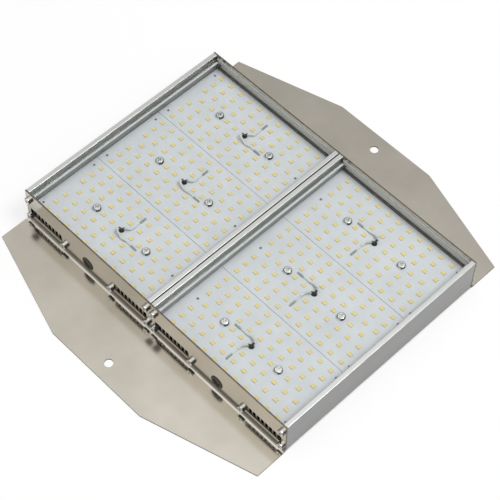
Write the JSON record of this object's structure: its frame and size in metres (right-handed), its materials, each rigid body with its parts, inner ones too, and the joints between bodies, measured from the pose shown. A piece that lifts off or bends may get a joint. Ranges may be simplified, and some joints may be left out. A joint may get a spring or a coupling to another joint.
{
  "type": "led floodlight",
  "caption": "Flat fixed LED floodlight: twin finned aluminium light modules under glass, held between folded end plates with mounting flanges.",
  "frame": {"origin": "middle of the mounting plane, under the middle of the part, level with the underside of both flanges", "axes": "+Z out of the lit face, away from the mounting surface; +Y along the extrusions towards the far end plate; +X across the modules from the left one to the right one"},
  "size_m": [0.26, 0.286, 0.0332],
  "materials": {
    "stainless_sheet": "polished",
    "anodised_aluminium": "satin",
    "zinc_screws": "polished",
    "clear_glass": "polished",
    "black_sealant": "satin",
    "clear_silicone": "satin",
    "black_rubber": "matte",
    "white_solder_mask": "satin",
    "led_phosphor": "gloss",
    "solder": "satin",
    "white_insulation": "satin",
    "terminal_plastic": "matte"
  },
  "bodies": {
    "root": {"board_screws_left": "zinc_screws", "board_screws_right": "zinc_screws", "cover_glass_left": "clear_glass", "cover_glass_right": "clear_glass", "cover_seal_left": "clear_silicone", "cover_seal_right": "clear_silicone", "end_plate_far": "stainless_sheet", "end_plate_near": "stainless_sheet", "end_plate_screws_far": "zinc_screws", "end_plate_screws_near": "zinc_screws", "end_seal_left_far": "black_sealant", "end_seal_left_near": "black_sealant", "end_seal_right_far": "black_sealant", "end_seal_right_near": "black_sealant", "first_lead_left_1": "white_insulation", "first_lead_left_2": "white_insulation", "first_lead_left_3": "white_insulation", "first_lead_right_1": "white_insulation", "first_lead_right_2": "white_insulation", "first_lead_right_3": "white_insulation", "housing_left": "anodised_aluminium", "housing_right": "anodised_aluminium", "inlet_plug_left_far": "black_rubber", "inlet_plug_left_near": "black_rubber", "inlet_plug_right_far": "black_rubber", "inlet_plug_right_near": "black_rubber", "led_board_left_1": "white_solder_mask", "led_board_left_2": "white_solder_mask", "led_board_left_3": "white_solder_mask", "led_board_right_1": "white_solder_mask", "led_board_right_2": "white_solder_mask", "led_board_right_3": "white_solder_mask", "led_chips_left_1": "led_phosphor", "led_chips_left_2": "led_phosphor", "led_chips_left_3": "led_phosphor", "led_chips_right_1": "led_phosphor", "led_chips_right_2": "led_phosphor", "led_chips_right_3": "led_phosphor", "second_lead_left_1": "white_insulation", "second_lead_left_2": "white_insulation", "second_lead_left_3": "white_insulation", "second_lead_right_1": "white_insulation", "second_lead_right_2": "white_insulation", "second_lead_right_3": "white_insulation", "solder_joints_left_1": "solder", "solder_joints_left_2": "solder", "solder_joints_left_3": "solder", "solder_joints_right_1": "solder", "solder_joints_right_2": "solder", "solder_joints_right_3": "solder", "terminal_block_left": "terminal_plastic", "terminal_block_right": "terminal_plastic", "terminal_screws_left": "zinc_screws", "terminal_screws_right": "zinc_screws"}
  },
  "joints": []
}
